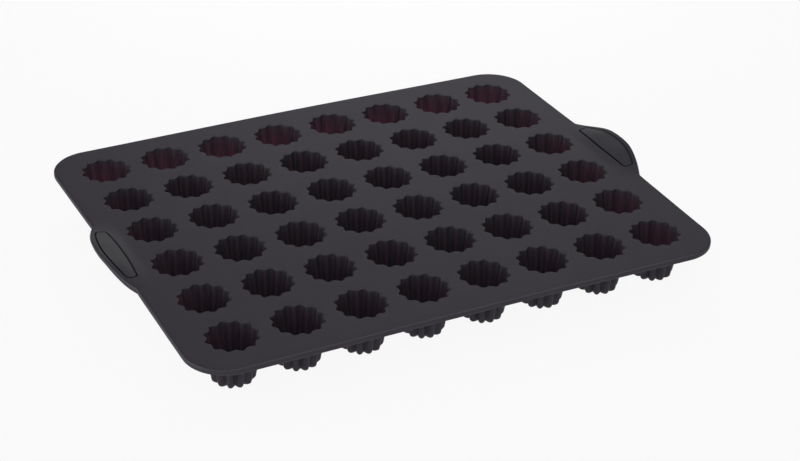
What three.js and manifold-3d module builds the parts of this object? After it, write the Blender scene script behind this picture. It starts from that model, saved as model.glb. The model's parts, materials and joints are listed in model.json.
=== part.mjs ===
// Silicone baking mould for small fluted cakes. A thin deck with a turned-down rim carries a grid
// of tapered, fluted cups, and a thick upturned grip with an inset pad stands at each short end.
// Millimetres, +Z up: the cups stand on z = 0, X runs along the long side and Y towards the back.
// The one moulding is divided at its fold lines, where the sheet bends between two columns of cups,
// and into the cups that each fold line carries.

import * as THREE from 'three';
import { mergeVertices } from 'three/addons/utils/BufferGeometryUtils.js';
import Module from 'manifold-3d';

// Grid of cups
const COLUMNS = 8;
const ROWS = 6;
const WEB_X = 6.5; // deck left between the walls of two cups in a row
const WEB_Y = 9.6; // deck left between the walls of two cups in a column
const BORDER = 16.4; // deck outside the walls of the outermost cups

// Cups
const MOUTH_DIAMETER = 35; // across the flute tips at the top of the deck
const CUP_DEPTH = 29.6; // top of the deck to the inside floor
const DRAFT_DEG = 9;
const FLUTES = 12;
const FLUTE_DEPTH_MOUTH = 2.4;
const FLUTE_DEPTH_FLOOR = 2.8;
const WALL = 1.1;
const FLOOR = 1.5;
const FOOT_BEVEL = 2.8; // outside edge of the foot
const FLOOR_BEVEL = 2; // inside edge of the floor

// Deck and rim
const DECK = 2;
const CORNER_RADIUS = 28.2;
const RIM_HEIGHT = 4.3; // top of the deck to the lower edge of the rim
const RIM_WIDTH = 3;

// Fold lines
const FOLD_DEG = 18; // bend between two columns, up or down
const GRIP_FOLD_DEG = 30; // bend of a grip, up or down
const GRIP_FOLD_OFFSET = 0.8; // from the walls of the end cups to the grip's fold line
const FOLD_CLEARANCE = 0.1;

// Grips
const GRIP_REACH = 11.2; // beyond the edge of the deck
const GRIP_WIDTH = 87; // where the grip leaves the edge of the deck
const GRIP_RISE = 8; // of its outer edge above the deck
const GRIP_SLOPE_DEG = 20;
const GRIP_THICKNESS = 4.5;
const GRIP_BEND_RADIUS = 16; // of the hollow where the deck turns up into the grip

// Pads set into the grips
const PAD_LENGTH = 62;
const PAD_INSET = 4.3; // from the outer edge of the grip to the pad's round side
const PAD_DEPTH = 12.3; // across the pad at its middle
const PAD_THICKNESS = 1.2;
const PAD_CORNER = 2.5;
const PAD_SEAT_GAP = 0.3; // under the pad
const PAD_GROOVE = 0.9; // round the pad

// Fineness of the round stretches: pairs of straight edges in an arc, and edges in the bend
const CORNER_STEPS = 5;
const ARC_STEPS = 8;
const PAD_STEPS = 4;
const BEND_STEPS = 5;

// Sizes that follow from those above
const DRAFT = Math.tan(THREE.MathUtils.degToRad(DRAFT_DEG));
const DECK_TOP = CUP_DEPTH + FLOOR;
const DECK_UNDER = DECK_TOP - DECK;
const CUP_RADIUS = MOUTH_DIAMETER / 2 + WALL;
const PITCH_X = 2 * CUP_RADIUS + WEB_X;
const PITCH_Y = 2 * CUP_RADIUS + WEB_Y;
const MARGIN = CUP_RADIUS + BORDER;
const HALF_LENGTH = ((COLUMNS - 1) * PITCH_X) / 2 + MARGIN;
const HALF_WIDTH = ((ROWS - 1) * PITCH_Y) / 2 + MARGIN;
const GRIP_FOLD_X = HALF_LENGTH - BORDER + GRIP_FOLD_OFFSET;
const GRIP_END_X = HALF_LENGTH + GRIP_REACH;

// Half the room that two edges of a given reach from the fold axis need to bend without touching.
function foldRoom(reach, foldDeg) {
  return reach * Math.tan(THREE.MathUtils.degToRad(foldDeg / 2)) + FOLD_CLEARANCE;
}

const DECK_REACH = DECK / 2;
const RIM_REACH = RIM_HEIGHT - DECK / 2;
const FOLD_GAP = foldRoom(DECK_REACH, FOLD_DEG);
const FOLD_RIM_GAP = foldRoom(RIM_REACH, FOLD_DEG);
const GRIP_GAP = foldRoom(DECK_REACH, GRIP_FOLD_DEG);
const GRIP_RIM_GAP = foldRoom(RIM_REACH, GRIP_FOLD_DEG);

const OVERSHOOT = 1; // by which a cutter runs past the face that it cuts
const WELD = 1e-4; // corners nearer than this are one corner

const wasm = await Module();
wasm.setup();

// A closed solid for joining and cutting, from a geometry whose faces share their corners.
function solidOf(geometry) {
  const bare = geometry.clone();
  bare.deleteAttribute('normal');
  bare.deleteAttribute('uv');
  const merged = mergeVertices(bare, WELD);
  const vertProperties = new Float32Array(merged.attributes.position.array);
  const triVerts = new Uint32Array(merged.index.array);
  return new wasm.Manifold(new wasm.Mesh({ numProp: 3, vertProperties, triVerts }));
}

// The geometry of a solid, for a mesh.
function geometryOf(solid) {
  const { vertProperties, triVerts } = solid.getMesh();
  const geometry = new THREE.BufferGeometry();
  geometry.setAttribute('position', new THREE.BufferAttribute(new Float32Array(vertProperties), 3));
  geometry.setIndex(new THREE.BufferAttribute(new Uint32Array(triVerts), 1));
  geometry.computeVertexNormals();
  return geometry;
}

function block(xLow, xHigh, yLow, yHigh, zLow, zHigh) {
  const geometry = new THREE.BoxGeometry(xHigh - xLow, yHigh - yLow, zHigh - zLow);
  geometry.translate((xLow + xHigh) / 2, (yLow + yHigh) / 2, (zLow + zHigh) / 2);
  return solidOf(geometry);
}

// A plan outline stood up between two surfaces, each given by its height at x.
function upright(shape, low, high, curveSegments) {
  const settings = { depth: 1, bevelEnabled: false, curveSegments };
  const geometry = new THREE.ExtrudeGeometry(shape, settings);
  const { position } = geometry.attributes;
  for (let i = 0; i < position.count; i += 1) {
    const height = position.getZ(i) === 0 ? low : high;
    position.setZ(i, height(position.getX(i)));
  }
  return solidOf(geometry);
}

function level(z) {
  return () => z;
}

// An outline in X and Z carried along Y, to the same distance on both sides.
function crosswise(shape, halfWidth) {
  const settings = { depth: 2 * halfWidth, bevelEnabled: false };
  const geometry = new THREE.ExtrudeGeometry(shape, settings);
  geometry.translate(0, 0, -halfWidth);
  geometry.rotateX(Math.PI / 2);
  return solidOf(geometry);
}

// A solid through a stack of rings, from the lowest to the highest, closed by a fan at each end.
function loft(rings) {
  const count = rings[0].length;
  const points = rings.flat();
  const lowEnd = points.length;
  const highEnd = lowEnd + 1;
  const highest = (rings.length - 1) * count;
  points.push(new THREE.Vector3(0, 0, rings[0][0].z));
  points.push(new THREE.Vector3(0, 0, rings[rings.length - 1][0].z));
  const index = [];
  for (let i = 0; i < count; i += 1) {
    const next = (i + 1) % count;
    index.push(lowEnd, next, i);
    index.push(highEnd, highest + i, highest + next);
    for (let low = 0; low < highest; low += count) {
      index.push(low + i, low + next, low + count + next);
      index.push(low + i, low + count + next, low + count + i);
    }
  }
  const geometry = new THREE.BufferGeometry().setFromPoints(points);
  geometry.setIndex(index);
  return solidOf(geometry);
}

// One ring of a fluted cup: tips at the given radius, and ridges between them nearer the axis.
function flutedRing(tip, z) {
  const share = (DECK_TOP - z) / CUP_DEPTH;
  const depth = THREE.MathUtils.lerp(FLUTE_DEPTH_MOUTH, FLUTE_DEPTH_FLOOR, share);
  const ring = [];
  for (let i = 0; i < 2 * FLUTES; i += 1) {
    const angle = (Math.PI * i) / FLUTES;
    const radius = i % 2 === 0 ? tip : tip - depth;
    ring.push(new THREE.Vector3(radius * Math.cos(angle), radius * Math.sin(angle), z));
  }
  return ring;
}

// Radius of the flute tips at a height, inside the cup or, with the wall added, outside it.
function tipRadius(z, wall) {
  return MOUTH_DIAMETER / 2 + wall - (DECK_TOP - z) * DRAFT;
}

// Outside of a cup, from its foot up to the underside of the deck.
function cupBody() {
  return loft([
    flutedRing(tipRadius(0, WALL) - FOOT_BEVEL, 0),
    flutedRing(tipRadius(FOOT_BEVEL, WALL), FOOT_BEVEL),
    flutedRing(tipRadius(DECK_UNDER, WALL), DECK_UNDER),
  ]);
}

// Hollow of a cup, from its floor to the top of the deck.
function cupHollow() {
  const wallFoot = FLOOR + FLOOR_BEVEL;
  return loft([
    flutedRing(tipRadius(FLOOR, 0) - FLOOR_BEVEL, FLOOR),
    flutedRing(tipRadius(wallFoot, 0), wallFoot),
    flutedRing(tipRadius(DECK_TOP, 0), DECK_TOP),
  ]);
}

// Plan of the deck, drawn in from its edge by a distance.
function deckOutline(inset) {
  const x = HALF_LENGTH - CORNER_RADIUS;
  const y = HALF_WIDTH - CORNER_RADIUS;
  const radius = CORNER_RADIUS - inset;
  const shape = new THREE.Shape();
  shape.absarc(x, y, radius, 0, Math.PI / 2);
  shape.absarc(-x, y, radius, Math.PI / 2, Math.PI);
  shape.absarc(-x, -y, radius, Math.PI, 1.5 * Math.PI);
  shape.absarc(x, -y, radius, 1.5 * Math.PI, 2 * Math.PI);
  return shape;
}

// X of each line along which the sheet folds between two columns.
const foldLines = [];
for (let column = 1; column < COLUMNS; column += 1) {
  foldLines.push((column - COLUMNS / 2) * PITCH_X);
}

// The whole deck with its rim, the rim cut back at the fold lines so that its ends clear each other.
function deckSheet() {
  const rimFoot = DECK_TOP - RIM_HEIGHT;
  const whole = upright(deckOutline(0), level(rimFoot), level(DECK_TOP), CORNER_STEPS);
  const belowDeck = level(rimFoot - OVERSHOOT);
  let sheet = whole.subtract(upright(deckOutline(RIM_WIDTH), belowDeck, level(DECK_UNDER), CORNER_STEPS));
  const relieve = (x, room) => {
    const notch = [x - room, x + room, -HALF_WIDTH - OVERSHOOT, HALF_WIDTH + OVERSHOOT];
    sheet = sheet.subtract(block(...notch, rimFoot - OVERSHOOT, DECK_UNDER));
  };
  foldLines.forEach((x) => relieve(x, FOLD_RIM_GAP));
  relieve(GRIP_FOLD_X, GRIP_RIM_GAP);
  relieve(-GRIP_FOLD_X, GRIP_RIM_GAP);
  return sheet;
}

const sheet = deckSheet();
const body = cupBody();
const hollow = cupHollow();

const silicone = new THREE.MeshStandardMaterial({ color: 0x3c3a3e, roughness: 0.62, metalness: 0 });
const padSilicone = new THREE.MeshStandardMaterial({ color: 0x444245, roughness: 0.55, metalness: 0 });

// One cup with its own piece of the deck, and of the rim where it lies at an edge.
function cupCell(column, row) {
  const x = (column - (COLUMNS - 1) / 2) * PITCH_X;
  const y = ((ROWS - 1) / 2 - row) * PITCH_Y;
  const left = column === 0 ? GRIP_GAP - GRIP_FOLD_X : foldLines[column - 1] + FOLD_GAP;
  const right = column === COLUMNS - 1 ? GRIP_FOLD_X - GRIP_GAP : foldLines[column] - FOLD_GAP;
  const front = row === ROWS - 1 ? -HALF_WIDTH - OVERSHOOT : y - PITCH_Y / 2;
  const back = row === 0 ? HALF_WIDTH + OVERSHOOT : y + PITCH_Y / 2;
  const cell = block(left, right, front, back, -OVERSHOOT, DECK_TOP + OVERSHOOT);
  const plate = sheet.intersect(cell).translate([-x, -y, 0]);
  const mesh = new THREE.Mesh(geometryOf(plate.add(body).subtract(hollow)), silicone);
  mesh.name = `cup_${String.fromCharCode('a'.charCodeAt(0) + row)}${column + 1}`;
  mesh.position.set(x, y, 0);
  return mesh;
}

// Line of the grip's sloping top in X and Z, which a hollow bend joins to the deck.
const GRIP_ANGLE = THREE.MathUtils.degToRad(GRIP_SLOPE_DEG);
const GRIP_BEND_X = GRIP_END_X - GRIP_RISE / Math.tan(GRIP_ANGLE);
const GRIP_START_X = GRIP_BEND_X - GRIP_BEND_RADIUS * Math.tan(GRIP_ANGLE / 2);

function gripTop(x) {
  return DECK_TOP + (x - GRIP_BEND_X) * Math.tan(GRIP_ANGLE);
}

// Round edge of the grip in plan, an arc through its peak and both ends of its root.
const GRIP_RADIUS = ((GRIP_WIDTH / 2) ** 2 + GRIP_REACH ** 2) / (2 * GRIP_REACH);
const GRIP_CENTRE_X = GRIP_END_X - GRIP_RADIUS;

// Section of the grip along X: deck, hollow bend, slope and square outer edge.
function gripSection() {
  const drop = GRIP_THICKNESS / Math.cos(GRIP_ANGLE);
  const past = GRIP_END_X + OVERSHOOT;
  const shape = new THREE.Shape();
  shape.moveTo(GRIP_START_X, DECK_UNDER);
  shape.lineTo(GRIP_START_X, DECK_TOP);
  for (let i = 1; i <= BEND_STEPS; i += 1) {
    const turn = (GRIP_ANGLE * i) / BEND_STEPS;
    const x = GRIP_START_X + GRIP_BEND_RADIUS * Math.sin(turn);
    shape.lineTo(x, DECK_TOP + GRIP_BEND_RADIUS * (1 - Math.cos(turn)));
  }
  shape.lineTo(past, gripTop(past));
  shape.lineTo(past, gripTop(past) - drop);
  shape.lineTo(GRIP_BEND_X, DECK_TOP - drop);
  shape.closePath();
  return shape;
}

// The surface that lies under the grip's slope by a depth square to it.
function underSlope(depth) {
  return (x) => gripTop(x) - depth / Math.cos(GRIP_ANGLE);
}

// Plan of the pad: a D whose round side follows the grip's edge, widened all round by a margin.
function padOutline(margin) {
  const centre = new THREE.Vector2(GRIP_CENTRE_X, 0);
  const outer = GRIP_RADIUS - PAD_INSET + margin;
  const chordX = GRIP_END_X - PAD_INSET - PAD_DEPTH - margin;
  const endY = PAD_LENGTH / 2 + margin;
  const corner = PAD_CORNER + margin;
  const inner = new THREE.Vector2(chordX + corner, endY - corner);
  const tip = new THREE.Vector2(0, endY - corner);
  tip.x = centre.x + Math.sqrt((outer - corner) ** 2 - tip.y ** 2);
  const tipAngle = Math.atan2(tip.y, tip.x - centre.x);
  const shape = new THREE.Shape();
  shape.absarc(centre.x, centre.y, outer, -tipAngle, tipAngle);
  shape.absarc(tip.x, tip.y, corner, tipAngle, Math.PI / 2);
  shape.absarc(inner.x, inner.y, corner, Math.PI / 2, Math.PI);
  shape.absarc(inner.x, -inner.y, corner, Math.PI, 1.5 * Math.PI);
  shape.absarc(tip.x, -tip.y, corner, 1.5 * Math.PI, 2 * Math.PI - tipAngle);
  return shape;
}

// Grip with the end strip of the deck that it grows out of, and a pocket for its pad.
function gripSolid() {
  const crest = gripTop(GRIP_END_X) + OVERSHOOT;
  const spread = Math.acos((GRIP_START_X - GRIP_CENTRE_X) / GRIP_RADIUS);
  const plan = new THREE.Shape();
  plan.absarc(GRIP_CENTRE_X, 0, GRIP_RADIUS, -spread, spread);
  const segment = upright(plan, level(0), level(crest), ARC_STEPS);
  const tab = crosswise(gripSection(), GRIP_WIDTH).intersect(segment);
  const inner = GRIP_FOLD_X + GRIP_GAP;
  const side = HALF_WIDTH + OVERSHOOT;
  const end = sheet.add(tab).intersect(block(inner, GRIP_END_X, -side, side, 0, crest));
  const bed = underSlope(PAD_THICKNESS + PAD_SEAT_GAP);
  const pocket = upright(padOutline(PAD_GROOVE), bed, underSlope(-OVERSHOOT), PAD_STEPS);
  return end.subtract(pocket);
}

function padSolid() {
  return upright(padOutline(0), underSlope(PAD_THICKNESS), underSlope(0), PAD_STEPS);
}

const gripGeometry = geometryOf(gripSolid());
const padGeometry = geometryOf(padSolid());

// One end of the mould: the grip and the pad that lies in it.
function gripEnd(side) {
  const grip = new THREE.Mesh(gripGeometry, silicone);
  grip.name = `${side}_grip`;
  const pad = new THREE.Mesh(padGeometry, padSilicone);
  pad.name = `${side}_grip_pad`;
  const end = new THREE.Group();
  end.add(grip, pad);
  return end;
}

const mould = new THREE.Group();
for (let column = 0; column < COLUMNS; column += 1) {
  for (let row = 0; row < ROWS; row += 1) {
    mould.add(cupCell(column, row));
  }
}
const leftEnd = gripEnd('left');
leftEnd.rotation.z = Math.PI;
mould.add(leftEnd, gripEnd('right'));

export default mould;
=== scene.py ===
import json
import math

import bmesh
import bpy
import numpy as np
from mathutils import Matrix, Vector
from mathutils.geometry import delaunay_2d_cdt


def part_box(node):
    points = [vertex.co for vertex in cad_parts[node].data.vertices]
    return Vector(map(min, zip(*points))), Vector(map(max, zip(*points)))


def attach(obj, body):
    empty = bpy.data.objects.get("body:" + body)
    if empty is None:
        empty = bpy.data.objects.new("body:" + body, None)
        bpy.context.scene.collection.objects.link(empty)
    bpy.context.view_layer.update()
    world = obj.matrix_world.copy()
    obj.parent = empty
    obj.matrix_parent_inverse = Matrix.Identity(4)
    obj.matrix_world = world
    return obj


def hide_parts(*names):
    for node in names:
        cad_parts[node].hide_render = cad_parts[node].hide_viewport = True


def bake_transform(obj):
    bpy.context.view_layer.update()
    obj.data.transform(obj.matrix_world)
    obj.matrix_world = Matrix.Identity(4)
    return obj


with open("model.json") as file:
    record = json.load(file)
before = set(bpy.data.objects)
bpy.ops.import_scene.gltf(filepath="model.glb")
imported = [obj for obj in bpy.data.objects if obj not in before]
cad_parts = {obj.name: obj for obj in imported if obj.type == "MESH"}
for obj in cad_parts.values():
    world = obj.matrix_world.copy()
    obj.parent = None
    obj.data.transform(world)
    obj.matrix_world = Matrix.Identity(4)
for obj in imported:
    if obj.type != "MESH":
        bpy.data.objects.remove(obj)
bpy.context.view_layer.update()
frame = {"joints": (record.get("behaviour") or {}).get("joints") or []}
scene = bpy.context.scene
scene.view_settings.view_transform = "Standard"


# Camera. It looks down on the mould's left front corner from a little over a metre away,
# through a long lens that is turned slightly about its own line of sight.
CAMERA_AZIMUTH = math.radians(-27.21)
CAMERA_ELEVATION = math.radians(29.875)
CAMERA_ROLL = math.radians(1.48)
CAMERA_PLACE = Vector((-0.50854, -1.02859, 0.66713))
CAMERA_LENS = 85.73
CAMERA_SENSOR = 36

backward = Vector((
    math.sin(CAMERA_AZIMUTH) * math.cos(CAMERA_ELEVATION),
    -math.cos(CAMERA_AZIMUTH) * math.cos(CAMERA_ELEVATION),
    math.sin(CAMERA_ELEVATION),
))
level_right = Vector((math.cos(CAMERA_AZIMUTH), math.sin(CAMERA_AZIMUTH), 0))
level_up = backward.cross(level_right)
camera_right = level_right * math.cos(CAMERA_ROLL) + level_up * math.sin(CAMERA_ROLL)
camera_up = backward.cross(camera_right)

lens = bpy.data.cameras.new("camera")
lens.sensor_width = CAMERA_SENSOR
lens.lens = CAMERA_LENS
camera = bpy.data.objects.new("camera", lens)
turn = Matrix((camera_right, camera_up, backward)).transposed().to_4x4()
camera.matrix_world = Matrix.Translation(CAMERA_PLACE) @ turn
scene.collection.objects.link(camera)
scene.camera = camera


# Cups. Each is a thin fluted wall drawn down from the deck, with round troughs and ridges inside and
# round lobes outside. Mouth, floor and foot have moulded radii. As it stands, the sheet that carries
# the cups is bulged a little, highest at its middle.
MM = 0.001
ROWS = "abcdef"
FLUTES = 12
MOUTH_TIP = 17.6 * MM
WALL = 1.1 * MM
FLOOR = 1.5 * MM
DECK = 2 * MM
DRAFT = math.tan(math.radians(9))
FLUTE_AT_MOUTH = 2.2 * MM
FLUTE_AT_FLOOR = 2.6 * MM
FLUTE_AT_FOOT = 3.3 * MM
FLUTE_POWER = 1.7
MOUTH_RADIUS = 0.5 * MM
COLLAR_RADIUS = 0.7 * MM
FLOOR_RADIUS = 2.6 * MM
FOOT_RADIUS = 3.2 * MM
LOBE_SOFTNESS = 0.22
BULGE_ALONG = 1 * MM
BULGE_ACROSS = 1.72 * MM
HALFWAY_IN = (0.5, 0.5, 1)
MOUTH_STEPS = 4
FOOT_STEPS = 5
WALL_STEPS = 2
INSIDE_STATIONS = (0, 0.08, 0.17, 0.27, 0.38, 0.5, 0.62, 0.73, 0.83, 0.92)
OUTSIDE_STATIONS = (0, 0.17, 0.32, 0.44, 0.5, 0.56, 0.68, 0.83)

cell_low, cell_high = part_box("cup_c4")
deck_top = cell_high.z
deck_under = deck_top - DECK
folds = sorted(j["pos_m"][0] for j in frame["joints"] if j["name"].startswith("fold_"))
pitch_x = folds[1] - folds[0]
pitch_y = cell_high.y - cell_low.y
column_x = [fold - pitch_x / 2 for fold in folds] + [folds[-1] + pitch_x / 2]
back_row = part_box("cup_a4")[0].y + pitch_y / 2
row_y = [back_row - pitch_y * row for row in range(len(ROWS))]
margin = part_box("cup_a4")[1].y - back_row
half_length = column_x[-1] + margin
half_width = row_y[0] + margin


def lift(x, y):
    """Height of the bulged sheet above its corner cups. It flattens out towards the edges."""
    along = np.cos(math.pi * x / half_length) - math.cos(math.pi * column_x[-1] / half_length)
    across = np.cos(math.pi * y / half_width) - math.cos(math.pi * row_y[0] / half_width)
    return BULGE_ALONG / 2 * along + BULGE_ACROSS / 2 * across


class Skin:
    """Corners and faces of a moulded surface. A corner of a cup also has its depth, from 0 at the deck
    to 1 at the foot, and its crest, from 0 in a trough of the inside to 1 on a ridge."""

    def __init__(self):
        self.points = np.zeros((0, 3))
        self.depth = np.zeros(0)
        self.crest = np.zeros(0)
        self.faces = []

    def add(self, points, depth=0, crest=0):
        """Adds corners, and gives their numbers."""
        start = len(self.points)
        self.points = np.vstack((self.points, points))
        self.depth = np.append(self.depth, np.broadcast_to(depth, len(points)))
        self.crest = np.append(self.crest, np.broadcast_to(crest, len(points)))
        return np.arange(start, len(self.points))

    def band(self, first, second):
        """Joins two closed rings of corners with one row of faces."""
        ahead, across = np.roll(first, -1), np.roll(second, -1)
        self.faces += np.column_stack((first, ahead, across, second)).tolist()

    def cap(self, ring, point, depth):
        """Closes a ring with a fan of faces about a point."""
        tip = self.add([point], depth)[0]
        ahead = np.roll(ring, -1)
        self.faces += np.column_stack((ring, ahead, np.full(len(ring), tip))).tolist()


def flute_angles(stations):
    """Angle round the cup of each corner of a ring, and its share of the way through its flute."""
    share = np.tile(stations, FLUTES)
    flute = np.repeat(np.arange(FLUTES), len(stations))
    return (flute + share) * 2 * math.pi / FLUTES, share


def inside_ring(tip, depth, z):
    """One ring of corners round the inside of a cup, with ridges between the tips of its flutes."""
    angle, share = flute_angles(INSIDE_STATIONS)
    radius = tip - depth * np.sin(math.pi * share) ** FLUTE_POWER
    return np.column_stack((radius * np.cos(angle), radius * np.sin(angle), np.full(len(angle), z)))


def outside_ring(lobe, depth, z):
    """One ring of corners round the outside of a cup, with a round lobe for each flute."""
    angle, share = flute_angles(OUTSIDE_STATIONS)
    swell = np.sqrt(np.cos(math.pi * share) ** 2 + LOBE_SOFTNESS ** 2)
    crest = math.sqrt(1 + LOBE_SOFTNESS ** 2)
    radius = lobe - depth * (crest - swell) / (crest - LOBE_SOFTNESS)
    return np.column_stack((radius * np.cos(angle), radius * np.sin(angle), np.full(len(angle), z)))


def quarter(steps):
    """Angles of a quarter turn, both ends included."""
    return np.linspace(0, math.pi / 2, steps + 1)


def tip_at(z, wall):
    """Radius to the tips of the flutes at a height, inside or a wall's thickness further out."""
    return MOUTH_TIP + wall - (deck_top - z) * DRAFT


def flute_at(z, at_foot):
    """Depth of the flutes at a height. They deepen towards the foot."""
    share = (deck_top - z) / (deck_top - FLOOR)
    return FLUTE_AT_MOUTH + (at_foot - FLUTE_AT_MOUTH) * share


def cup_inside():
    """Rings from the edge of the mouth down the wall to the floor."""
    rings = []
    for a in quarter(MOUTH_STEPS):
        z = deck_top - MOUTH_RADIUS * (1 - math.cos(a))
        rings.append((tip_at(z, 0) + MOUTH_RADIUS * (1 - math.sin(a)), z))
    wall_foot = FLOOR + FLOOR_RADIUS
    for z in np.linspace(deck_top - MOUTH_RADIUS, wall_foot, WALL_STEPS + 1)[1:-1]:
        rings.append((tip_at(z, 0), z))
    for a in quarter(FOOT_STEPS):
        z = FLOOR + FLOOR_RADIUS * (1 - math.sin(a))
        rings.append((tip_at(z, 0) - FLOOR_RADIUS * (1 - math.cos(a)), z))
    return [inside_ring(tip, flute_at(z, FLUTE_AT_FLOOR), z) for tip, z in rings]


def cup_outside():
    """Rings from the collar under the deck down the wall to the foot."""
    rings = []
    for a in quarter(MOUTH_STEPS):
        z = deck_under - COLLAR_RADIUS * (1 - math.cos(a))
        rings.append((tip_at(z, WALL) + COLLAR_RADIUS * (1 - math.sin(a)), z))
    for z in np.linspace(deck_under - COLLAR_RADIUS, FOOT_RADIUS, WALL_STEPS + 1)[1:-1]:
        rings.append((tip_at(z, WALL), z))
    for a in quarter(FOOT_STEPS):
        z = FOOT_RADIUS * (1 - math.sin(a))
        rings.append((tip_at(z, WALL) - FOOT_RADIUS * (1 - math.cos(a)), z))
    return [outside_ring(tip, flute_at(z, FLUTE_AT_FOOT), z) for tip, z in rings]


def add_cup(skin, rings, stations, centre):
    """Adds a stack of rings about a cup's axis, closed at its lower end, and gives its top ring."""
    floor_z = rings[-1][0][2]
    crest = np.sin(math.pi * np.tile(stations, FLUTES))
    numbers = []
    for ring in rings + [rings[-1] * HALFWAY_IN]:
        depth = (deck_top - ring[:, 2]) / (deck_top - floor_z)
        x, y = ring[:, 0] + centre[0], ring[:, 1] + centre[1]
        raised = ring[:, 2] + lift(x, y) * (1 - depth) + lift(*centre) * depth
        numbers.append(skin.add(np.column_stack((x, y, raised)), depth, crest))
    for above, below in zip(numbers, numbers[1:]):
        skin.band(above, below)
    skin.cap(numbers[-1], (*centre, floor_z + lift(*centre)), 1)
    return numbers[0]


skin = Skin()
inside_rings, outside_rings = cup_inside(), cup_outside()
mouths = []
collars = []
for x in column_x:
    for y in row_y:
        mouths.append(add_cup(skin, inside_rings, INSIDE_STATIONS, (x, y)))
        collars.append(add_cup(skin, outside_rings, OUTSIDE_STATIONS, (x, y)))


# Grips. At each short end the deck turns up through a hollow bend into a thick D-shaped tab. It
# stands highest at its middle and sinks back to the deck where it meets the sheet's end.
GRIP_HALF_WIDTH = 43.9 * MM
GRIP_SLOPE = math.tan(math.radians(17))
GRIP_RISE = 7.4 * MM
GRIP_BEND = 2 * MM
GRIP_FULL = 10 * MM
GRIP_FADE = 50 * MM
GRIP_FILLET = 3 * MM
GRIP_EDGE = 3.8 * MM

grip_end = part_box("right_grip")[1].x
grip_bend_x = grip_end - GRIP_RISE / GRIP_SLOPE
grip_reach = grip_end - half_length
grip_radius = (GRIP_HALF_WIDTH ** 2 + grip_reach ** 2) / (2 * grip_reach)
grip_centre = grip_end - grip_radius


def smooth(share):
    """An eased share, which sets off and arrives gently."""
    share = np.clip(share, 0, 1)
    return share * share * (3 - 2 * share)


def top_of_sheet(x, y):
    """Height of the upper surface of the deck and the grips."""
    run = np.abs(x) - grip_bend_x
    hollow = np.clip(run + GRIP_BEND, 0, 2 * GRIP_BEND) ** 2 / (4 * GRIP_BEND)
    climb = GRIP_SLOPE * (hollow + np.maximum(run - GRIP_BEND, 0))
    climb *= smooth((GRIP_FADE - np.abs(y)) / (GRIP_FADE - GRIP_FULL))
    return deck_top + lift(x, y) + climb


# Rim. The deck ends in a rounded edge and a short turned-down wall with a lip inside it, which
# stiffens the sheet. The same edge runs on round the two grips.
CORNER_RADIUS = 28.2 * MM
EDGE_RADIUS = 1.5 * MM
LIP_RADIUS = 1.1 * MM
RIM_HEIGHT = 4.35 * MM
RIM_WIDTH = 3 * MM
WEB_HALF = 2.55 * MM
SAME_PLACE = 0.001 * MM
WEB_STEPS = 6
EDGE_STEPS = 5
CORNER_STEPS = 26
GRIP_STEPS = 20
END_STEPS = 12
FILLET_STEPS = 6

corner_centre = (half_length - CORNER_RADIUS, CORNER_RADIUS - half_width)
web_lines = np.concatenate([np.linspace(f - WEB_HALF, f + WEB_HALF, WEB_STEPS + 1) for f in folds])


def front_stations():
    """X of the corners along the right half of a long side."""
    stations = [x for x in web_lines if x > -SAME_PLACE] + [x for x in column_x if x > 0]
    return np.sort(stations)


def arc(centre, radius, start, end, steps):
    """Points and outward directions along an arc."""
    a = np.linspace(start, end, steps + 1)
    outward = np.column_stack((np.cos(a), np.sin(a)))
    return np.array(centre) + radius * outward, outward


def all_round(points, outward):
    """A closed outline from its quarter between the middles of the front and of the right end."""
    half = [np.vstack((p, p[-2::-1] * (1, -1))) for p in (points, outward)]
    return [np.vstack((p, p[-2:0:-1] * (-1, 1))) for p in half]


def front_and_corner():
    """Points and outward directions of half of the front and of the corner after it."""
    x = front_stations()
    front = np.column_stack((x, np.full(len(x), -half_width)))
    corner, corner_out = arc(corner_centre, CORNER_RADIUS, -math.pi / 2, 0, CORNER_STEPS)
    return np.vstack((front, corner)), np.vstack((np.tile((0, -1), (len(front), 1)), corner_out))


def outer_edge():
    """Outline of the sheet and its grips."""
    front, front_out = front_and_corner()
    fillet_x = half_length + GRIP_FILLET
    reach = grip_radius + GRIP_FILLET
    fillet_y = -math.sqrt(reach ** 2 - (fillet_x - grip_centre) ** 2)
    end_y = np.linspace(corner_centre[1], fillet_y, END_STEPS + 1)[1:-1]
    end = np.column_stack((np.full(len(end_y), half_length), end_y))
    meet = math.atan2(fillet_y, fillet_x - grip_centre)
    fillet, fillet_out = arc((fillet_x, fillet_y), GRIP_FILLET, math.pi, meet + math.pi, FILLET_STEPS)
    grip, grip_out = arc((grip_centre, 0), grip_radius, meet, 0, GRIP_STEPS)
    end_out = np.tile((1, 0), (len(end), 1))
    points = np.vstack((front, end, fillet, grip[1:]))
    return all_round(points, np.vstack((front_out, end_out, -fillet_out, grip_out[1:])))


def inner_edge():
    """Outline of the inside of the rim, under the deck."""
    front, front_out = front_and_corner()
    end_y = np.linspace(corner_centre[1], 0, 2 * END_STEPS)[1:]
    end = np.column_stack((np.full(len(end_y), half_length), end_y))
    end_out = np.tile((1, 0), (len(end), 1))
    return all_round(np.vstack((front, end)), np.vstack((front_out, end_out)))


def edge_ring(skin, points, outward, inset, drop):
    """One ring of corners drawn in from an outline and let down from the upper surface."""
    place = points - outward * inset
    z = top_of_sheet(place[:, 0], place[:, 1]) - drop
    return skin.add(np.column_stack((place, z)))


def edge_thickness(points):
    """Height of the rim's wall, which thins along the grips."""
    share = np.clip((np.abs(points[:, 0]) - half_length) / grip_reach, 0, 1)
    return RIM_HEIGHT + (GRIP_EDGE - RIM_HEIGHT) * share


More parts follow.
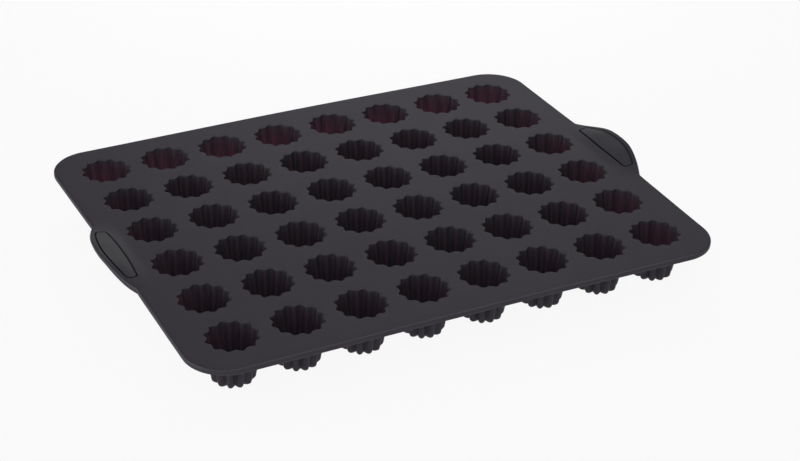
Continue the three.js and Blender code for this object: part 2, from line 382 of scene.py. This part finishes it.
edge, edge_out = outer_edge()
thick = edge_thickness(edge)
edge_rings = []
for a in quarter(EDGE_STEPS):
    inset = EDGE_RADIUS * (1 - math.sin(a))
    drop = EDGE_RADIUS * (1 - math.cos(a))
    edge_rings.append(edge_ring(skin, edge, edge_out, inset, drop))
for a in quarter(EDGE_STEPS):
    inset = LIP_RADIUS * (1 - math.cos(a))
    drop = thick - LIP_RADIUS * (1 - math.sin(a))
    edge_rings.append(edge_ring(skin, edge, edge_out, inset, drop))
for above, below in zip(edge_rings, edge_rings[1:]):
    skin.band(above, below)

lip, lip_out = inner_edge()
lip_rings = []
for a in quarter(EDGE_STEPS):
    inset = RIM_WIDTH - LIP_RADIUS * (1 - math.sin(a))
    drop = edge_thickness(lip) - LIP_RADIUS * (1 - math.cos(a))
    lip_rings.append(edge_ring(skin, lip, lip_out, inset, drop))
for a in quarter(EDGE_STEPS):
    inset = RIM_WIDTH + LIP_RADIUS * (1 - math.cos(a))
    drop = DECK + LIP_RADIUS * (1 - math.sin(a))
    lip_rings.append(edge_ring(skin, lip, lip_out, inset, drop))
for below, above in zip(lip_rings, lip_rings[1:]):
    skin.band(below, above)


# Pad pockets. Each grip has a shallow D-shaped pocket moulded in it, with a slightly rounded edge. A
# pad lies in it flush with the grip, and a narrow dark groove is left all round the pad.
PAD_GROOVE = 1.1 * MM
PAD_POCKET = 1.8 * MM
PAD_CORNER = 2 * MM
PAD_BOW = 0.4 * MM
PAD_INNER_RADIUS = 400 * MM
PAD_EDGE = 0.25 * MM
PAD_ARC_STEPS = 36
PAD_CORNER_STEPS = 6

pad_low, pad_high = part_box("right_grip_pad")


def pad_outline(widen):
    """Points and outward directions of the right pad's D, widened all round, against the clock."""
    outer = grip_radius - (grip_end - pad_high.x) + widen
    inner = PAD_INNER_RADIUS + widen
    inner_centre = pad_low.x - PAD_BOW + PAD_INNER_RADIUS
    corner = PAD_CORNER + widen
    corner_y = pad_high.y + widen - corner
    tip_x = grip_centre + math.sqrt((outer - corner) ** 2 - corner_y ** 2)
    root_x = inner_centre - math.sqrt((inner - corner) ** 2 - corner_y ** 2)
    spread = math.atan2(corner_y, tip_x - grip_centre)
    bow = math.atan2(corner_y, inner_centre - root_x)
    paths = [
        arc((grip_centre, 0), outer, -spread, spread, PAD_ARC_STEPS),
        arc((tip_x, corner_y), corner, spread, math.pi / 2, PAD_CORNER_STEPS),
        arc((root_x, corner_y), corner, math.pi / 2, math.pi - bow, PAD_CORNER_STEPS),
        arc((inner_centre, 0), inner, math.pi - bow, math.pi + bow, PAD_ARC_STEPS),
        arc((root_x, -corner_y), corner, math.pi + bow, 3 * math.pi / 2, PAD_CORNER_STEPS),
        arc((tip_x, -corner_y), corner, 3 * math.pi / 2, 2 * math.pi - spread, PAD_CORNER_STEPS),
    ]
    points, outward = (np.vstack(part) for part in zip(*paths))
    apart = np.linalg.norm(points - np.roll(points, 1, axis=0), axis=1) > SAME_PLACE
    return points[apart], outward[apart]


pockets = []
pocket_floors = []
for side in (1, -1):
    points, outward = pad_outline(PAD_GROOVE)
    points, outward = points * (side, 1), outward * (side, 1)
    rings = []
    for a in quarter(EDGE_STEPS):
        inset = PAD_EDGE * (math.sin(a) - 1)
        rings.append(edge_ring(skin, points, outward, inset, PAD_EDGE * (1 - math.cos(a))))
    rings.append(edge_ring(skin, points, outward, 0, PAD_POCKET))
    for above, below in zip(rings, rings[1:]):
        skin.band(above, below)
    pockets.append(rings[0])
    pocket_floors.append(rings[-1])


# Deck. The flat faces above and below fill the spaces between the rim and the cups. Corners along
# the webs let the sheet bend there, and a net of corners carries the curves of the grips.
DECK_NET = 8
GRIP_NET = 1.8 * MM
GRIP_NET_HALF = 54 * MM
GRIP_NET_LEAD = 2 * MM
NET_CLEARANCE = 0.9 * MM
NO_NET = np.zeros((0, 2))
GRIP_WEB = (173.5 * MM, 179.5 * MM)
WELD = 0.00001 * MM
INSIDE_ONLY = 1

grip_root = GRIP_WEB[0] - GRIP_NET_LEAD


def within(places, loop):
    """Which places lie inside a closed loop, by counting the edges to their right."""
    x, y = places[:, 0:1], places[:, 1:2]
    x1, y1 = loop[:, 0], loop[:, 1]
    x2, y2 = np.roll(x1, -1), np.roll(y1, -1)
    spans = (y1 > y) != (y2 > y)
    slope = np.where(y2 == y1, 1, y2 - y1)
    crosses = spans & (x < x1 + (y - y1) * (x2 - x1) / slope)
    return crosses.sum(axis=1) % 2 == 1


def distance_to(places, loop):
    """Least distance from each place to the corners and mid-edges of a loop."""
    marks = np.vstack((loop, (loop + np.roll(loop, -1, axis=0)) / 2))
    gaps = places[:, None, :] - marks[None, :, :]
    return np.sqrt((gaps ** 2).sum(axis=2)).min(axis=1)


def grip_places(low_x, high_x):
    """A fine net of places over the two grips."""
    xs = np.arange(low_x, high_x, GRIP_NET)
    ys = np.arange(-GRIP_NET_HALF, GRIP_NET_HALF, GRIP_NET)
    return np.array([(side * x, y) for side in (1, -1) for x in xs for y in ys])


def deck_places():
    """A net of places over the deck in step with the cups, finer along the webs, clear of the grips."""
    shares = np.linspace(-0.5, 0.5, DECK_NET + 1)
    xs = np.concatenate([x + shares[1:-1] * pitch_x for x in column_x] + [web_lines])
    ys = np.concatenate([y + shares[1:] * pitch_y for y in row_y])
    places = np.array([(x, y) for x in xs for y in ys])
    x, y = np.abs(places).T
    return places[(x < grip_root) | (y > GRIP_NET_HALF)]


def clear_of(places, outline, holes):
    """The places that lie well inside an outline and well outside the holes in it."""
    keep = within(places, outline) & (distance_to(places, outline) > NET_CLEARANCE)
    for hole in holes:
        reach = np.abs(hole - hole.mean(axis=0)).max() + NET_CLEARANCE
        near = np.abs(places - hole.mean(axis=0)).max(axis=1) < reach
        if near.any():
            inside = within(places[near], hole) | (distance_to(places[near], hole) < NET_CLEARANCE)
            keep[near] &= ~inside
    return places[keep]


def web_links(ring, loop):
    """Pairs of corners of a ring that face each other over the sheet along a web line."""
    pairs = []
    for x in web_lines:
        on_line = np.abs(loop[:, 0] - x) < SAME_PLACE
        pairs.append((ring[on_line & (loop[:, 1] < 0)][0], ring[on_line & (loop[:, 1] > 0)][0]))
    return pairs


def fill(skin, outline, holes, links, net, drop):
    """Covers the space inside an outline of corners and outside its holes with flat triangles."""
    loops = [outline] + holes
    known = np.concatenate(loops)
    number = {corner: i for i, corner in enumerate(known)}
    edges = []
    for loop in loops:
        edges += [(number[a], number[b]) for a, b in zip(loop, np.roll(loop, -1))]
    edges += [(number[a], number[b]) for a, b in links]
    places = [Vector(p) for p in skin.points[known][:, :2]] + [Vector(p) for p in net]
    spots, _, faces, sources, _, _ = delaunay_2d_cdt(places, edges, [], INSIDE_ONLY, WELD)
    spots = np.array([tuple(p) for p in spots])
    height = top_of_sheet(spots[:, 0], spots[:, 1]) - drop(spots)
    corners = np.zeros(len(spots), int)
    for i, source in enumerate(sources):
        old = [s for s in source if s < len(known)]
        corners[i] = known[old[0]] if old else skin.add([(*spots[i], height[i])])[0]
    faces = np.array(faces)
    middle = spots[faces].mean(axis=1)
    keep = np.ones(len(faces), bool)
    for hole in holes:
        loop = skin.points[hole][:, :2]
        low, high = loop.min(axis=0), loop.max(axis=0)
        near = ((middle > low) & (middle < high)).all(axis=1)
        inside = np.zeros(len(faces), bool)
        inside[near] = within(middle[near], loop)
        keep &= ~inside
    skin.faces += corners[faces[keep]].tolist()


def plan_of(rings):
    """Rings of the sheet's corners, seen from above."""
    return [skin.points[ring][:, :2] for ring in rings]


top_ring, bottom_ring = edge_rings[0], edge_rings[-1]
lip_ring, under_ring = lip_rings[0], lip_rings[-1]
top_plan, bottom_plan, lip_plan, under_plan = plan_of((top_ring, bottom_ring, lip_ring, under_ring))

top_holes = mouths + pockets
top_net = np.vstack((deck_places(), grip_places(grip_root, grip_end)))
top_net = clear_of(top_net, top_plan, plan_of(top_holes))
fill(skin, top_ring, top_holes, web_links(top_ring, top_plan), top_net, lambda spots: 0)

bottom_net = clear_of(grip_places(grip_root, grip_end), bottom_plan, [lip_plan])
fill(skin, bottom_ring, [lip_ring], [], bottom_net, edge_thickness)

under_net = np.vstack((deck_places(), grip_places(grip_root, half_length)))
under_net = clear_of(under_net, under_plan, plan_of(collars))
fill(skin, under_ring, collars, web_links(under_ring, under_plan), under_net, lambda spots: DECK)

for pocket_floor in pocket_floors:
    fill(skin, pocket_floor, [], [], NO_NET, lambda spots: PAD_POCKET)


# Lengths of the sheet. The moulding bends along the webs between its columns of cups and at the
# roots of its grips, so its skin is taken in nine lengths, each holding one web.
def solid_mesh(skin, name):
    """A mesh of a closed skin, with its faces turned outwards."""
    mesh = bpy.data.meshes.new(name)
    mesh.from_pydata(skin.points.tolist(), [], skin.faces)
    shell = bmesh.new()
    shell.from_mesh(mesh)
    bmesh.ops.recalc_face_normals(shell, faces=shell.faces[:])
    shell.to_mesh(mesh)
    shell.free()
    return mesh


def numbers_of(items, key):
    """Whole numbers that a mesh keeps for each of its faces or their corners."""
    values = np.zeros(len(items), int)
    items.foreach_get(key, values)
    return values


def add_piece(mesh, skin, corners):
    """A piece with smooth faces, whose mesh keeps each corner's place at rest, and in its cup."""
    rest = mesh.attributes.new("rest", "FLOAT_VECTOR", "POINT")
    rest.data.foreach_set("vector", skin.points[corners].ravel())
    for name, values in (("cup_depth", skin.depth), ("crest", skin.crest)):
        mesh.attributes.new(name, "FLOAT", "POINT").data.foreach_set("value", values[corners])
    mesh.shade_smooth()
    piece = bpy.data.objects.new(mesh.name, mesh)
    scene.collection.objects.link(piece)
    piece.modifiers.new("even_shading", "WEIGHTED_NORMAL")
    return piece


def sheet_length(name, low, high):
    """The part of the sheet's skin between two planes across it."""
    middle = np.zeros(len(whole.polygons) * 3)
    whole.polygons.foreach_get("center", middle)
    x = middle[::3]
    chosen = (x > low) & (x < high)
    sides = numbers_of(whole.polygons, "loop_total")
    corners = numbers_of(whole.loops, "vertex_index")[np.repeat(chosen, sides)]
    kept, renumbered = np.unique(corners, return_inverse=True)
    sides = sides[chosen]
    mesh = bpy.data.meshes.new(name)
    mesh.vertices.add(len(kept))
    mesh.vertices.foreach_set("co", skin.points[kept].ravel())
    mesh.loops.add(len(renumbered))
    mesh.loops.foreach_set("vertex_index", renumbered)
    mesh.polygons.add(len(sides))
    mesh.polygons.foreach_set("loop_start", np.cumsum(sides) - sides)
    mesh.update(calc_edges=True)
    return add_piece(mesh, skin, kept)


def cups_of(column):
    """Names of the cups in a column."""
    return [f"cup_{row}{column}" for row in ROWS]


def bend(piece, first, second, start_x, end_x):
    """Bakes the piece's placement into its mesh, which stays unbent."""
    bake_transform(piece)


def length_over_web(name, low, high, column):
    """A length of the sheet that holds the web at the right of a column."""
    piece = sheet_length(name, low, high)
    fold = folds[column - 1]
    bend(piece, f"column_{column}", f"column_{column + 1}", fold - WEB_HALF, fold + WEB_HALF)
    return piece


whole = solid_mesh(skin, "whole")
lengths = []

# The cuts run beside the webs: on their left in the left half, on their right in the right half, and on
# both sides of the middle web.
columns = len(column_x)
half = columns // 2
past_end = 2 * grip_end
left_cuts = [-past_end] + [fold - WEB_HALF for fold in folds[:half]]
right_cuts = [fold + WEB_HALF for fold in folds[half - 1:]] + [past_end]
cuts = left_cuts + right_cuts

left = sheet_length("left_end_of_sheet", cuts[0], cuts[1])
bend(left, "left_end", "column_1", -GRIP_WEB[1], -GRIP_WEB[0])
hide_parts("left_grip", *cups_of(1))
lengths.append(left)

for column in range(2, half + 1):
    piece = length_over_web(f"column_{column}_of_sheet", cuts[column - 1], cuts[column], column - 1)
    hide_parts(*cups_of(column))
    lengths.append(piece)

lengths.append(length_over_web("middle_web_of_sheet", left_cuts[-1], right_cuts[0], half))

for column in range(half + 1, columns):
    piece = length_over_web(f"column_{column}_of_sheet", cuts[column], cuts[column + 1], column)
    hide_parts(*cups_of(column))
    lengths.append(piece)

right = sheet_length("right_end_of_sheet", cuts[-2], cuts[-1])
bend(right, f"column_{columns}", "right_end", *GRIP_WEB)
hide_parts("right_grip", *cups_of(columns))
lengths.append(right)


# Silicone. Liquid silicone rubber coloured nearly black and cured in a finely blasted steel mould,
# which leaves it satin. The thin walls of the cups let a little red light through, most of it on the
# shoulders of the ridges, and the feet none.
SILICONE_DARK = (0.029, 0.0235, 0.036, 1)
SILICONE_PALE = (0.034, 0.028, 0.041, 1)
GLOW_RED = (0.9, 0.46, 0.6, 1)
GLOW = 0.34
GLOW_IN_TROUGH = 0.45
GLOW_ON_RIDGE = 0.2
GLOW_ON_SHOULDER = 0.5
BELOW_MOUTH = (0, 0.1)
TOWARDS_FOOT = (0.5, 0.8)
UP_RIDGE = (0.1, 0.6)
ONTO_SHOULDER = (0.55, 0.75)
OFF_SHOULDER = (0.82, 0.97)
CLOUD_SCALE = 34
CLOUD_DETAIL = 3
GRAIN_SCALE = 2600
GRAIN_DETAIL = 2
GRAIN_STRENGTH = 0.5
GRAIN_DEPTH = 0.06 * MM
SILICONE_ROUGH = 0.5
SILICONE_CLOUDED = 0.12
SILICONE_IOR = 1.41
SILICONE_GLOSS = 0.5


class Wire:
    """A socket that gives a value. Sums and products of it add Math nodes; node() adds any other."""

    def __init__(self, socket):
        self.socket = socket

    def node(self, kind, settings, sockets, output=0):
        tree = self.socket.id_data
        made = tree.nodes.new(kind)
        for name, value in settings.items():
            setattr(made, name, value)
        for name, value in sockets.items():
            if isinstance(value, Wire):
                tree.links.new(value.socket, made.inputs[name])
            else:
                made.inputs[name].default_value = value
        return Wire(made.outputs[output]) if made.outputs else None

    def math(self, operation, *terms):
        return self.node("ShaderNodeMath", {"operation": operation}, dict(enumerate(terms)))

    def __add__(self, other):
        return self.math("ADD", self, other)

    def __sub__(self, other):
        return self.math("SUBTRACT", self, other)

    def __rsub__(self, other):
        return self.math("SUBTRACT", other, self)

    def __mul__(self, other):
        return self.math("MULTIPLY", self, other)

    __radd__ = __add__
    __rmul__ = __mul__


def new_material(name):
    """An empty material, and a wire that gives the place at rest of the point that is shaded."""
    material = bpy.data.materials.new(name)
    material.use_nodes = True
    tree = material.node_tree
    tree.nodes.clear()
    place = tree.nodes.new("ShaderNodeAttribute")
    place.attribute_name = "rest"
    return material, Wire(place.outputs["Vector"])


def noise(place, scale, detail):
    """A cloudy value between 0 and 1."""
    return place.node("ShaderNodeTexNoise", {}, {"Vector": place, "Scale": scale, "Detail": detail})


def mix_colour(factor, first, second):
    """A colour between two others. A Mix node numbers its colour sockets 6 and 7, and its colour 2."""
    return factor.node("ShaderNodeMix", {"data_type": "RGBA"}, {0: factor, 6: first, 7: second}, 2)


def step(value, start, end):
    """A smooth step from 0 to 1 as a value passes from a start to an end."""
    sockets = {"Value": value, "From Min": start, "From Max": end}
    return value.node("ShaderNodeMapRange", {"interpolation_type": "SMOOTHSTEP"}, sockets)


def fine_grain(place):
    """The normal of a surface with the fine grain that a blasted mould leaves."""
    height = noise(place, GRAIN_SCALE, GRAIN_DETAIL)
    sockets = {"Strength": GRAIN_STRENGTH, "Distance": GRAIN_DEPTH, "Height": height}
    return place.node("ShaderNodeBump", {}, sockets)


silicone, place = new_material("silicone")
depth = place.node("ShaderNodeAttribute", {"attribute_name": "cup_depth"}, {}, "Fac")
crest = place.node("ShaderNodeAttribute", {"attribute_name": "crest"}, {}, "Fac")
cloud = noise(place, CLOUD_SCALE, CLOUD_DETAIL)
body = place.node("ShaderNodeBsdfPrincipled", {}, {
    "Base Color": mix_colour(cloud, SILICONE_DARK, SILICONE_PALE),
    "Roughness": SILICONE_ROUGH + SILICONE_CLOUDED * cloud,
    "IOR": SILICONE_IOR,
    "Specular IOR Level": SILICONE_GLOSS,
    "Normal": fine_grain(place),
})
glow = place.node("ShaderNodeBsdfTranslucent", {}, {"Color": GLOW_RED})
down_wall = step(depth, *BELOW_MOUTH) * (1 - step(depth, *TOWARDS_FOOT))
shoulder = step(crest, *ONTO_SHOULDER) * (1 - step(crest, *OFF_SHOULDER))
round_flute = GLOW_IN_TROUGH + GLOW_ON_RIDGE * step(crest, *UP_RIDGE) + GLOW_ON_SHOULDER * shoulder
surface = place.node("ShaderNodeMixShader", {}, {0: GLOW * down_wall * round_flute, 1: body, 2: glow})
place.node("ShaderNodeOutputMaterial", {}, {"Surface": surface})
for piece in lengths:
    piece.data.materials.append(silicone)


# Grip pads. Two D-shaped insets of the same rubber, a shade paler, smoother and slightly crowned,
# pressed into the pockets in the grips.
PAD_DARK = (0.026, 0.024, 0.033, 1)
PAD_PALE = (0.038, 0.036, 0.048, 1)
PAD_SEAT = 0.05 * MM
PAD_CROWN = 0.3 * MM
PAD_CROWN_RUN = 5 * MM
PAD_CLOUD_SCALE = 136
PAD_ROUGH = 0.45
PAD_CLOUDED = 0.14

pad_rubber, pad_place = new_material("pad_rubber")
pad_cloud = noise(pad_place, PAD_CLOUD_SCALE, CLOUD_DETAIL)
pad_body = pad_place.node("ShaderNodeBsdfPrincipled", {}, {
    "Base Color": mix_colour(pad_cloud, PAD_DARK, PAD_PALE),
    "Roughness": PAD_ROUGH + PAD_CLOUDED * pad_cloud,
    "IOR": SILICONE_IOR,
    "Specular IOR Level": SILICONE_GLOSS,
    "Normal": fine_grain(pad_place),
})
pad_place.node("ShaderNodeOutputMaterial", {}, {"Surface": pad_body})


def pad_skin(side):
    """The closed skin of one pad, on the right or mirrored to the left."""
    pad = Skin()
    points, outward = pad_outline(0)
    points, outward = points * (side, 1), outward * (side, 1)
    rings = [edge_ring(pad, points, outward, PAD_EDGE, PAD_POCKET - PAD_SEAT)]
    for a in quarter(EDGE_STEPS)[::-1]:
        inset = PAD_EDGE * (1 - math.sin(a))
        rings.append(edge_ring(pad, points, outward, inset, PAD_EDGE * (1 - math.cos(a))))
    for below, above in zip(rings, rings[1:]):
        pad.band(below, above)
    rim = pad.points[rings[-1]][:, :2]

    def crown(spots):
        return -PAD_CROWN * smooth(distance_to(spots, rim) / PAD_CROWN_RUN)

    fill(pad, rings[-1], [], [], clear_of(grip_places(pad_low.x, pad_high.x), rim, []), crown)
    fill(pad, rings[0], [], [], NO_NET, lambda spots: PAD_POCKET - PAD_SEAT)
    return pad


for side, end in ((1, "right"), (-1, "left")):
    pad = pad_skin(side)
    piece = add_piece(solid_mesh(pad, f"{end}_pad"), pad, np.arange(len(pad.points)))
    piece.data.materials.append(pad_rubber)
    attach(piece, f"{end}_end")
    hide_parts(f"{end}_grip_pad")


# Floor. A plain white paper sweep that the mould stands on. To the camera it is a thin veil over a
# white backdrop, which keeps the mould's soft shadow and does not hide what is bent below it. In the
# sheen of the mould it shows pale.
PAPER_HALF = 6
PAPER_WHITE = (0.86, 0.86, 0.86, 1)
PAPER_CLEARNESS = 0.92
PAPER_IN_SHEEN = 0.65

floor_mesh = bpy.data.meshes.new("floor")
square = ((-1, -1), (1, -1), (1, 1), (-1, 1))
floor_corners = [(x * PAPER_HALF, y * PAPER_HALF, 0) for x, y in square]
floor_mesh.from_pydata(floor_corners, [], [(0, 1, 2, 3)])
floor = bpy.data.objects.new("floor", floor_mesh)
scene.collection.objects.link(floor)
paper, paper_place = new_material("paper")


def light_path(output):
    """Whether the ray that meets the paper is of one kind, as 1 or 0."""
    return paper_place.node("ShaderNodeLightPath", {}, {}, output)


below = paper_place.node("ShaderNodeNewGeometry", {}, {}, "Backfacing")
matt = paper_place.node("ShaderNodeBsdfDiffuse", {}, {"Color": PAPER_WHITE})
white = paper_place.node("ShaderNodeEmission", {}, {"Strength": 1})
clear = paper_place.node("ShaderNodeBsdfTransparent", {}, {})
mirrored = light_path("Is Glossy Ray") * PAPER_IN_SHEEN
veiled = light_path("Is Camera Ray") * PAPER_CLEARNESS + light_path("Is Shadow Ray") * below
sheet = paper_place.node("ShaderNodeMixShader", {}, {0: mirrored, 1: matt, 2: white})
veil = paper_place.node("ShaderNodeMixShader", {}, {0: veiled, 1: sheet, 2: clear})
paper_place.node("ShaderNodeOutputMaterial", {}, {"Surface": veil})
paper.cycles.emission_sampling = "NONE"
floor_mesh.materials.append(paper)


# Studio light. A white room with soft lamps over the camera, high at the left, low in front, and behind
# for the sheen of the deck. Two more give only sheen, to the front edge and to the left grip's wall, and
# a low one close behind shines through the walls of the cups and gives none.
ROOM_WHITE = (1, 1, 1, 1)
ROOM_STRENGTH = 0.22
LAMPS = (
    ("key_lamp", (-0.9, -1.5, 1.6), 1.0, 9),
    ("left_lamp", (-1.7, -0.2, 1.7), 1.0, 4),
    ("front_lamp", (-1.1, -1.9, 0.3), 1.2, 8),
    ("back_lamp", (1.15, 2.0, 1.0), 1.6, 4.9),
    ("front_sheen", (0.7, -0.9, 1.3), 1.0, 17),
    ("side_sheen", (-1.9, 0.2, 0.3), 1.2, 30),
    ("through_lamp", (0.3, 0.6, 0.25), 0.4, 1.7),
)
SHEEN_ONLY = ("front_sheen", "side_sheen")
NO_SHEEN = ("through_lamp",)

world = bpy.data.worlds.new("room")
world.use_nodes = True
scene.world = world
room_tree = world.node_tree
room_tree.nodes.clear()
path = Wire(room_tree.nodes.new("ShaderNodeLightPath").outputs["Is Camera Ray"])
room = path.node("ShaderNodeBackground", {}, {"Color": ROOM_WHITE, "Strength": ROOM_STRENGTH})
backdrop = path.node("ShaderNodeBackground", {}, {"Color": ROOM_WHITE, "Strength": 1})
room_mix = path.node("ShaderNodeMixShader", {}, {0: path, 1: room, 2: backdrop})
path.node("ShaderNodeOutputWorld", {}, {"Surface": room_mix})

for name, spot, size, power in LAMPS:
    light = bpy.data.lights.new(name, "AREA")
    light.size = size
    light.energy = power
    lamp = bpy.data.objects.new(name, light)
    lamp.location = spot
    lamp.rotation_euler = (-Vector(spot)).to_track_quat("-Z", "Y").to_euler()
    lamp.visible_glossy = name not in NO_SHEEN
    lamp.visible_diffuse = name not in SHEEN_ONLY
    scene.collection.objects.link(lamp)
